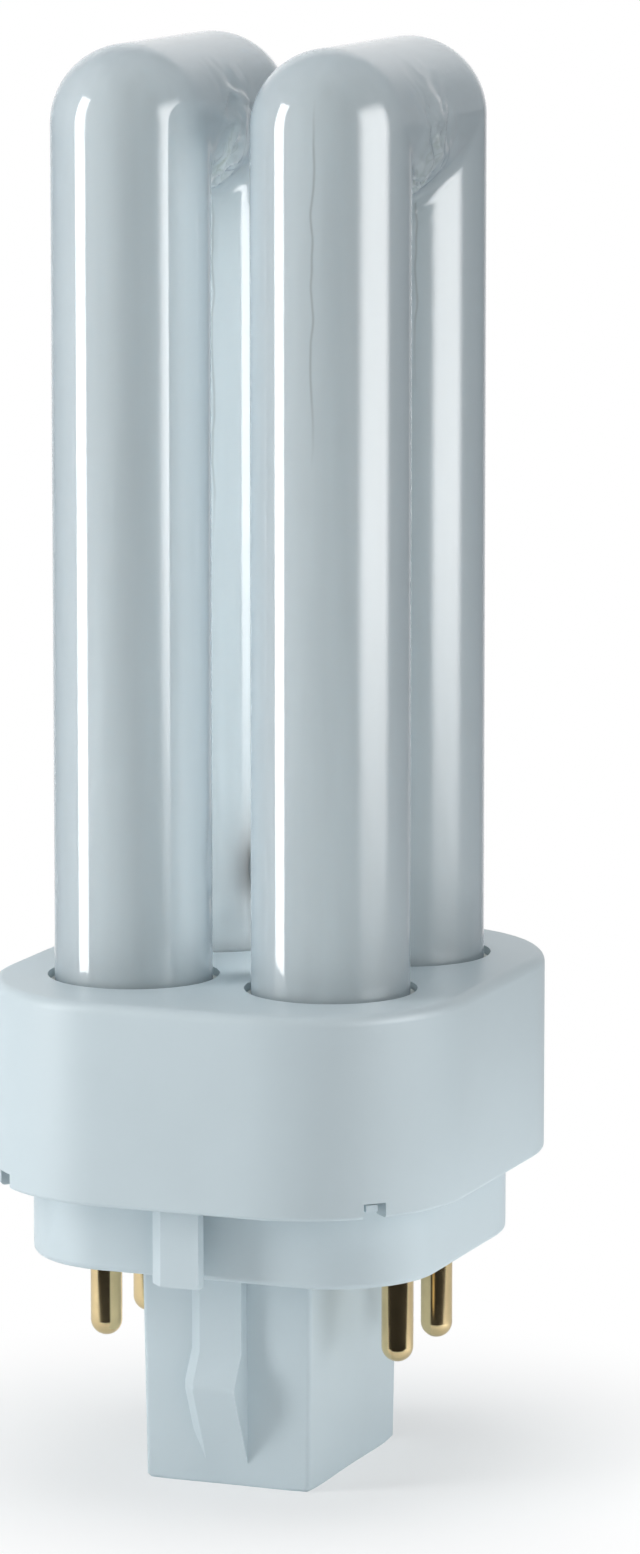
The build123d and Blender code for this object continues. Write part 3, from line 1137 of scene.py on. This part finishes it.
@dataclass
class ContactPins:
    """The four brass pins, rolled and polished to a round tip. Sizes in millimetres."""

    finish: bpy.types.Material
    spacing: tuple[float, float] = (22.6, 8.0)
    tip_level: float = 9.1
    top: float = 21.8
    radius: float = 1.15
    head_radius: float = 1.65
    head: tuple[float, float] = (18.9, 19.4)
    seat_radius: float = 1.25
    seat_level: float = 16.35
    bore_radius: float = 0.5
    bore_depth: float = 5.0
    sides: int = 48
    sharp_angle: float = math.radians(35)

    def build(self) -> bpy.types.Object:
        """Makes the pins with one geometry tree.

        Returns:
            The piece, which stands for the four packed pins.
        """
        places = [(c.value[0] * self.spacing[0] / 2 * MM, c.value[1] * self.spacing[1] / 2 * MM, 0.0)
                  for c in Corner]
        pins = shaped("contact_pins", loose_points("pin_points", places), self.tree(),
                      {"Sides": self.sides, "Edge angle": self.sharp_angle})
        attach(pins, BODY)
        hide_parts(*(f"contact_pin_{c.tag}" for c in Corner))
        return pins

    def outline(self) -> list[tuple[float, float]]:
        """The turned outline, from the middle of the tip up and down into the bore.

        Returns:
            Radius and height pairs.
        """
        tip = [(self.radius * math.sin(t), self.tip_level + self.radius * (1 - math.cos(t)))
               for t in np.linspace(0.0, math.pi / 2, 14)]
        shank = [(self.radius, self.seat_level), (self.seat_radius, self.seat_level),
                 (self.seat_radius, self.head[0]), (self.head_radius, self.head[0]),
                 (self.head_radius, self.head[1]), (self.radius, self.head[1]), (self.radius, self.top)]
        bore = [(self.bore_radius, self.top), (self.bore_radius, self.top - self.bore_depth),
                (0.0, self.top - self.bore_depth)]
        return tip + shank + bore

    def tree(self) -> bpy.types.NodeTree:
        """Geometry tree that turns the outline on a grid and stands the pin on each point.

        Each row of the grid becomes the ring of one outline point, and the seam and the poles are merged.

        Returns:
            The tree, with the points, the number of sides and the sharp edges' angle as its named inputs.
        """
        sheet, given = geometry_sheet("turned_pins", "Points", ("Edge angle",), ("Sides",))
        radii, heights = zip(*self.outline())
        seams = sheet.math("ADD", given["Sides"], 1.0)
        grid = sheet.add("GeometryNodeMeshGrid", {"Vertices X": len(radii), "Vertices Y": seams})
        number = sheet.add("GeometryNodeInputIndex").outputs["Index"]
        ring = sheet.math("FLOOR", sheet.math("DIVIDE", sheet.math("ADD", number, 0.5), seams))
        step = sheet.math("SUBTRACT", number, sheet.math("MULTIPLY", ring, seams))
        turn = sheet.math("MULTIPLY", sheet.math("DIVIDE", step, given["Sides"]), -2 * math.pi)
        radius = sheet.pick(ring, [r * MM for r in radii])
        place = sheet.add("ShaderNodeCombineXYZ", {
            "X": sheet.math("MULTIPLY", radius, sheet.math("COSINE", turn)),
            "Y": sheet.math("MULTIPLY", radius, sheet.math("SINE", turn)),
            "Z": sheet.pick(ring, [z * MM for z in heights])})
        turned = sheet.add("GeometryNodeSetPosition", {"Geometry": grid.outputs["Mesh"],
                                                       "Position": place.outputs["Vector"]})
        skin = sheet.add("GeometryNodeMergeByDistance", {"Geometry": turned.outputs["Geometry"],
                                                         "Distance": 0.0002 * MM})
        real = stood_on(sheet, given["Points"], skin.outputs["Geometry"])
        return painted(sheet, shaded(sheet, real, given["Edge angle"]), self.finish)


def soft_light(name: str, size: tuple[float, float], brightness: float) -> bpy.types.Object:
    """Makes an even light that the camera doesn't see.

    Args:
        name: the light's name.
        size: width and height of its face, in metres.
        brightness: radiance of its face.

    Returns:
        The light, at the origin and facing down.
    """
    data = bpy.data.lights.new(name, "AREA")
    data.shape = "RECTANGLE"
    data.size, data.size_y = size
    data.energy = brightness * size[0] * size[1] * math.pi
    light = linked(name, data)
    light.visible_camera = False
    return light


def flat_sheet(name: str, corners: list, material: bpy.types.Material) -> bpy.types.Object:
    """Makes a flat face with four corners.

    Args:
        name: the object's name.
        corners: its corners in order.
        material: its material.

    Returns:
        The object.
    """
    mesh = bpy.data.meshes.new(name)
    mesh.from_pydata(corners, [], [(0, 1, 2, 3)])
    mesh.materials.append(material)
    return linked(name, mesh)


@dataclass(frozen=True)
class Panel:
    """An upright soft light that faces the lamp. Lengths in metres.

    The azimuth counts in degrees from the front towards +X, and the distance from the centre that the
    panel faces. fade is the share of its width and height over which its edges fade. mirrored tells
    whether gloss shows it, and lights whether it lights what isn't glossy.
    """

    name: str
    azimuth: float
    distance: float
    bottom: float
    size: tuple[float, float]
    brightness: float
    fade: float = 0.0
    mirrored: bool = True
    lights: bool = True
    centre: tuple[float, float] = (0.0, 0.0)

    def build(self) -> None:
        """Stands the light up."""
        light = soft_light(self.name, self.size, self.brightness)
        if self.fade > 0:
            self.fade_edges(light.data)
        turn = math.radians(self.azimuth)
        light.location = Vector((self.centre[0] + self.distance * math.sin(turn),
                                 self.centre[1] - self.distance * math.cos(turn),
                                 self.bottom + self.size[1] / 2))
        aim = Vector((-math.sin(turn), math.cos(turn), 0.0))
        light.rotation_euler = aim.to_track_quat("-Z", "Y").to_euler()
        light.visible_glossy = self.mirrored
        light.visible_diffuse = self.lights

    def fade_edges(self, light: bpy.types.Light) -> None:
        """Makes the light's face fade out towards its four edges.

        Args:
            light: the light.
        """
        light.use_nodes = True
        sheet = NodeSheet(light.node_tree)
        across, along, _ = sheet.split(sheet.add("ShaderNodeNewGeometry").outputs["Parametric"])
        soft = []
        for place in (across, along):
            inside = sheet.math("SUBTRACT", 0.5, sheet.math("ABSOLUTE", sheet.math("SUBTRACT", place, 0.5)))
            soft.append(sheet.smooth_step(inside, start=0.0, end=self.fade))
        shine = sheet.add("ShaderNodeEmission", {"Color": WHITE, "Strength": sheet.math("MULTIPLY", *soft)})
        sheet.add("ShaderNodeOutputLight", {"Surface": shine.outputs[0]})


@dataclass
class Studio:
    """Pale floor, white surroundings, soft lights and the camera of the photograph. Lengths in metres."""

    azimuth: float = 21.74
    distance: float = 0.5185
    height: float = 0.1351
    pitch: float = 9.3
    yaw: float = -0.39
    lens: float = 169.6
    backdrop: tuple[float, float] = (0.8, 1.0)

    def camera(self) -> None:
        """Sets the camera up at the photograph's place."""
        turn = math.radians(self.azimuth)
        data = bpy.data.cameras.new("camera")
        data.lens = self.lens
        data.sensor_width = 36.0
        data.clip_start = 0.01
        data.clip_end = 50.0
        camera = linked("camera", data)
        camera.location = (self.distance * math.sin(turn), -self.distance * math.cos(turn), self.height)
        camera.rotation_euler = (math.radians(90 - self.pitch), 0.0, turn + math.radians(self.yaw))
        bpy.context.scene.camera = camera

    def behind(self, sheet: NodeSheet, way: Socket, rise: float) -> Socket:
        """How far a direction points away from the camera.

        Args:
            sheet: the nodes.
            way: the direction.
            rise: upward part of the direction that counts as straight away.

        Returns:
            About 1 behind the lamp and -1 on the camera's side.
        """
        turn = math.radians(self.azimuth)
        return sheet.add("ShaderNodeVectorMath", {0: way, 1: (-math.sin(turn), math.cos(turn), rise)},
                         operation="DOT_PRODUCT").outputs["Value"]

    def seen_white(self, sheet: NodeSheet, behind: Socket) -> Socket:
        """Mask of the rays that see white: the camera's, and those from gloss that end behind the lamp.

        Args:
            sheet: the nodes.
            behind: how far a place lies behind the lamp.

        Returns:
            1 for a ray that sees white.
        """
        path = sheet.add("ShaderNodeLightPath").outputs
        clear = sheet.math("MAXIMUM", path[Ray.GLOSSY.value], path[Ray.TRANSMISSION.value])
        mirrored = sheet.math("MULTIPLY", clear, sheet.smooth_step(behind, *self.backdrop))
        return sheet.math("MAXIMUM", path[Ray.CAMERA.value], mirrored)

    def world(self, front: float, back: float, tint: tuple[float, float, float]) -> None:
        """White behind the lamp, and a soft light from all round that is dim on the camera's side.

        Args:
            front: strength of the light from the camera's side.
            back: strength of the light from behind the lamp.
            tint: colour of that light.
        """
        world = bpy.data.worlds.new("surroundings")
        bpy.context.scene.world = world
        world.use_nodes = True
        sheet = NodeSheet(world.node_tree)
        behind = self.behind(sheet, sheet.add("ShaderNodeTexCoord").outputs["Generated"], rise=0.25)
        level = sheet.smooth_step(behind, start=-0.5, end=0.7, low=front, high=back)
        soft = sheet.add("ShaderNodeBackground", {"Color": (*tint, 1.0), "Strength": level})
        white = sheet.add("ShaderNodeBackground", {"Color": WHITE, "Strength": 1.0})
        both = sheet.add("ShaderNodeMixShader", {0: self.seen_white(sheet, behind), 1: soft.outputs[0],
                                                 2: white.outputs[0]})
        sheet.add("ShaderNodeOutputWorld", {"Surface": both.outputs[0]})

    def floor(self, colour: tuple[float, float, float], near: float, far: float, white_near: float,
              half: float) -> None:
        """Lays the pale floor, which keeps the lamp's shadow and fades to white further out.

        Args:
            colour: the floor's colour near the lamp.
            near: radius up to which the floor is plain.
            far: radius from which it is white to the camera.
            white_near: share of white that the camera sees near the lamp.
            half: half of its width.
        """
        sheet = SurfaceSheet("floor")
        radius = sheet.add("ShaderNodeVectorMath", {0: sheet.place}, operation="LENGTH").outputs["Value"]
        fade = sheet.smooth_step(radius, near, far)
        level = sheet.math("ADD", white_near, sheet.math("MULTIPLY", fade, 1.0 - white_near))
        way = sheet.add("ShaderNodeVectorMath", {0: sheet.place}, operation="NORMALIZE").outputs["Vector"]
        seen = self.seen_white(sheet, self.behind(sheet, way, rise=0.0))
        plain = sheet.add("ShaderNodeBsdfDiffuse", {"Color": (*colour, 1.0)})
        white = sheet.add("ShaderNodeEmission", {"Color": WHITE, "Strength": 1.0})
        both = sheet.add("ShaderNodeMixShader", {0: sheet.math("MULTIPLY", level, seen), 1: plain.outputs[0],
                                                 2: white.outputs[0]})
        corners = [(-half, -half, 0.0), (half, -half, 0.0), (half, half, 0.0), (-half, half, 0.0)]
        floor = flat_sheet("floor", corners, sheet.close(both.outputs[0]))

    def black_card(self, near: float, far: float, width: float, lift: float) -> None:
        """Lays a dark card before the lamp, which only gloss shows.

        Args:
            near: distance of its near edge from the lamp's axis.
            far: distance of its far edge.
            width: its width.
            lift: how high over the floor it lies.
        """
        turn = math.radians(self.azimuth)
        out = Vector((math.sin(turn), -math.cos(turn), 0.0))
        across = Vector((math.cos(turn), math.sin(turn), 0.0)) * width / 2
        up = Vector((0.0, 0.0, lift))
        sheet = SurfaceSheet("black_card")
        dark = sheet.add("ShaderNodeBsdfDiffuse", {"Color": (0.03, 0.03, 0.03, 1.0)})
        corners = [out * near - across + up, out * near + across + up, out * far + across + up,
                   out * far - across + up]
        card = flat_sheet("black_card", corners, sheet.close(dark.outputs[0]))
        card.visible_camera = False
        card.visible_diffuse = False
        card.visible_shadow = False
        card.visible_transmission = False

    def ceiling(self, height: float, size: float, brightness: float) -> None:
        """Hangs a wide soft light over the lamp, which gloss doesn't show.

        Args:
            height: above the floor.
            size: length of its sides.
            brightness: radiance of its face.
        """
        light = soft_light("ceiling", (size, size), brightness)
        light.location = (0.0, 0.0, height)
        light.visible_glossy = False

    def panels(self) -> list[Panel]:
        """The upright lights: two that gloss mirrors, two fills, and three thin ones between the legs.

        The thin ones stand for the light that the white glass passes on from leg to leg.

        Returns:
            The lights.
        """
        gap = {"distance": 0.001, "bottom": 0.038, "size": (0.003, 0.058), "mirrored": False}
        return [
            Panel("strip", azimuth=-53.0, distance=0.17, bottom=0.002, size=(0.05, 0.19), brightness=7.4),
            Panel("side", azimuth=84.0, distance=0.15, bottom=0.002, size=(0.165, 0.195), brightness=5.2,
                  fade=0.28, lights=False),
            Panel("side_soft", azimuth=50.0, distance=0.15, bottom=0.002, size=(0.125, 0.115),
                  brightness=1.35, mirrored=False),
            Panel("low_right", azimuth=95.0, distance=0.045, bottom=0.001, size=(0.03, 0.014), brightness=3.0,
                  mirrored=False),
            Panel("back_gap", azimuth=45.0, distance=0.004, bottom=0.0375, size=(0.003, 0.0585),
                  brightness=4.6, mirrored=False),
            Panel("left_gap", azimuth=90.0, brightness=0.8, centre=(-0.001, -0.009), **gap),
            Panel("right_gap", azimuth=-90.0, brightness=0.4, centre=(0.001, -0.009), **gap)]

    def build(self) -> None:
        """Sets up everything round the lamp."""
        self.camera()
        self.world(front=0.12, back=0.45, tint=(0.95, 0.98, 1.0))
        self.floor(colour=(0.92, 0.94, 0.95), near=0.012, far=0.045, white_near=0.45, half=12.0)
        self.black_card(near=0.022, far=1.2, width=0.5, lift=0.0004)
        for panel in self.panels():
            panel.build()
        self.ceiling(height=0.3, size=0.2, brightness=2.1)


def main() -> None:
    """Builds the lamp's looks piece by piece."""
    logging.basicConfig(level=logging.INFO)
    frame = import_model()
    glass = CoatedGlass("coated_glass", (0.57, 0.635, 0.66), roughness=0.5).build()
    holder_plastic = MouldedPlastic("holder_plastic", (0.60, 0.69, 0.73), roughness=0.42).build()
    cap_plastic = MouldedPlastic("cap_plastic", (0.61, 0.70, 0.74), roughness=0.38).build()
    brass = TurnedMetal("pin_brass", (0.87, 0.67, 0.37), roughness=0.16).build()
    wire = TurnedMetal("lead_wire", (0.62, 0.60, 0.57), roughness=0.3, rings=0.0).build()
    cement = Cement("cement", (0.62, 0.65, 0.63), roughness=0.9).build()
    DischargeTube(glass).build()
    LOG.info("glass done")
    CementBeads(cement).build()
    LOG.info("cement beads done")
    ContactPins(brass).build()
    LOG.info("pins done")
    PackedPieces({"tube_holder": holder_plastic, "pin_cap": cap_plastic, "cement_ring": cement,
                  "contact_pin": brass, "lead_wire": wire, "discharge_tube": glass}).dress(frame["nodes"])
    Studio().build()
    LOG.info("studio done")
    bpy.context.scene.view_settings.view_transform = "Standard"


if __name__ == "__main__":
    main()
